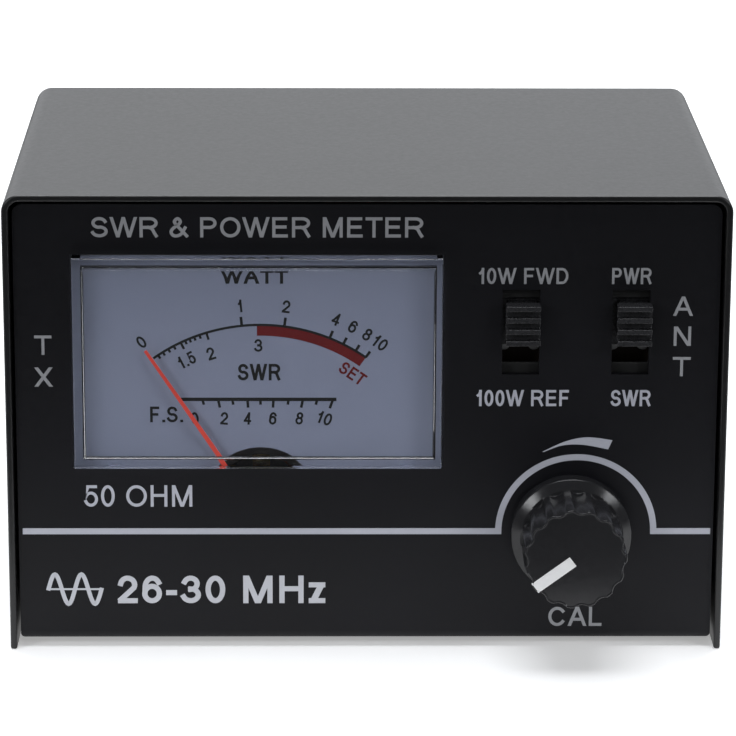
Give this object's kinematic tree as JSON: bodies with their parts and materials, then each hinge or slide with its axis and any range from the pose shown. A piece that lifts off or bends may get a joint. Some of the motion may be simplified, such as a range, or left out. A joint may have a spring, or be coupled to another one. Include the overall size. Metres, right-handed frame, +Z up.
{
  "type": "standing-wave-ratio and power meter",
  "caption": "Small black steel desk case with a moving-coil panel meter, slide switches and a calibration knob on the front, and coaxial sockets on the rear.",
  "frame": {"origin": "on the resting surface, under the centre of the bounding box", "axes": "+Z up, the front panel faces -Y, +X to the right as seen from the front"},
  "size_m": [0.105, 0.0978, 0.069],
  "materials": {
    "cover_paint": "satin black paint",
    "panel_paint": "satin black paint with pale printed legends",
    "plated_steel": "zinc plated",
    "clear_plastic": "clear moulded plastic",
    "black_plastic": "black moulded plastic",
    "scale_face": "pale lilac-grey printed sheet",
    "brass": "plain brass",
    "magnet_grey": "ground magnet alloy",
    "soft_iron": "dark soft iron",
    "copper_wire": "enamelled copper winding",
    "staff_steel": "polished steel",
    "needle_red": "red painted aluminium",
    "jewel_red": "polished synthetic jewel",
    "spring_bronze": "phosphor bronze ribbon",
    "switch_frame_black": "blackened steel",
    "slider_black": "black moulded plastic with ribs",
    "phenolic_brown": "brown phenolic laminate",
    "tinned": "tinned",
    "board_tan": "tan laminate",
    "board_green": "green laminate",
    "pot_metal": "drawn can",
    "track_carbon": "carbon track",
    "wiper_plastic": "cream moulded plastic",
    "knob_black": "black moulded plastic with flutes",
    "pointer_white": "white inlaid line",
    "nickel": "nickel plated",
    "ptfe": "white fluoropolymer",
    "contact_plating": "gold flashed",
    "line_copper": "tinned copper strip",
    "diode_glass": "glass body with a dark band",
    "resistor_tan": "lacquered body with colour rings",
    "capacitor_ochre": "dipped ceramic",
    "trimmer_blue": "blue moulded plastic",
    "wire_insulation": "soft insulation",
    "ground_insulation": "soft black insulation"
  },
  "bodies": {
    "case": {"cover": "cover_paint", "chassis": "panel_paint", "cover_screws": "plated_steel", "meter_lens": "clear_plastic", "meter_housing": "black_plastic", "scale_plate": "scale_face", "scale_screws": "brass", "core_magnet": "magnet_grey", "yoke_ring": "soft_iron", "core_webs": "brass", "front_bridge": "brass", "rear_bridge": "brass", "bridge_spacers": "brass", "bridge_screws": "plated_steel", "pivot_jewels": "jewel_red", "hairsprings": "spring_bronze", "meter_terminals": "brass", "range_switch_frame": "switch_frame_black", "range_switch_base": "phenolic_brown", "range_switch_terminals": "tinned", "mode_switch_frame": "switch_frame_black", "mode_switch_base": "phenolic_brown", "mode_switch_terminals": "tinned", "control_board": "board_tan", "cal_pot_body": "pot_metal", "cal_pot_bushing": "nickel", "cal_pot_track": "track_carbon", "cal_pot_nut": "nickel", "cal_pot_washer": "nickel", "cal_pot_terminals": "tinned", "tx_socket_shell": "nickel", "tx_socket_insulator": "ptfe", "tx_socket_contact": "contact_plating", "ant_socket_shell": "nickel", "ant_socket_insulator": "ptfe", "ant_socket_contact": "contact_plating", "socket_screws": "plated_steel", "socket_nuts": "plated_steel", "ground_lug": "tinned", "coupler_board": "board_green", "coupler_lines": "line_copper", "detector_diodes": "diode_glass", "load_resistors": "resistor_tan", "bypass_capacitors": "capacitor_ochre", "trimmers": "trimmer_blue", "meter_wires": "wire_insulation", "signal_wires": "wire_insulation", "ground_wire": "ground_insulation"},
    "cal_knob": {"cal_knob": "knob_black", "cal_knob_pointer": "pointer_white", "cal_pot_shaft": "pot_metal", "cal_pot_wiper": "wiper_plastic"},
    "needle": {"needle": "needle_red", "moving_coil": "copper_wire", "coil_staffs": "staff_steel"},
    "range_slider": {"range_switch_slider": "slider_black", "range_switch_contacts": "brass"},
    "mode_slider": {"mode_switch_slider": "slider_black", "mode_switch_contacts": "brass"}
  },
  "joints": [
    {"name": "cal_knob_turn", "type": "hinge", "parent": "case", "child": "cal_knob", "pos_m": [0.03, -0.04, 0.0181], "axis": [0, 1, 0], "range_deg": [-22, 278]},
    {"name": "needle_swing", "type": "hinge", "parent": "case", "child": "needle", "pos_m": [-0.0155, -0.03, 0.02], "axis": [0, 1, 0], "range_deg": [-2, 69], "stiffness_Nm_per_rad": 0.0001},
    {"name": "range_switch_slide", "type": "slide", "parent": "case", "child": "range_slider", "axis": [0, 0, 1], "range_m": [-0.0032, 0]},
    {"name": "mode_switch_slide", "type": "slide", "parent": "case", "child": "mode_slider", "axis": [0, 0, 1], "range_m": [-0.0032, 0]}
  ]
}
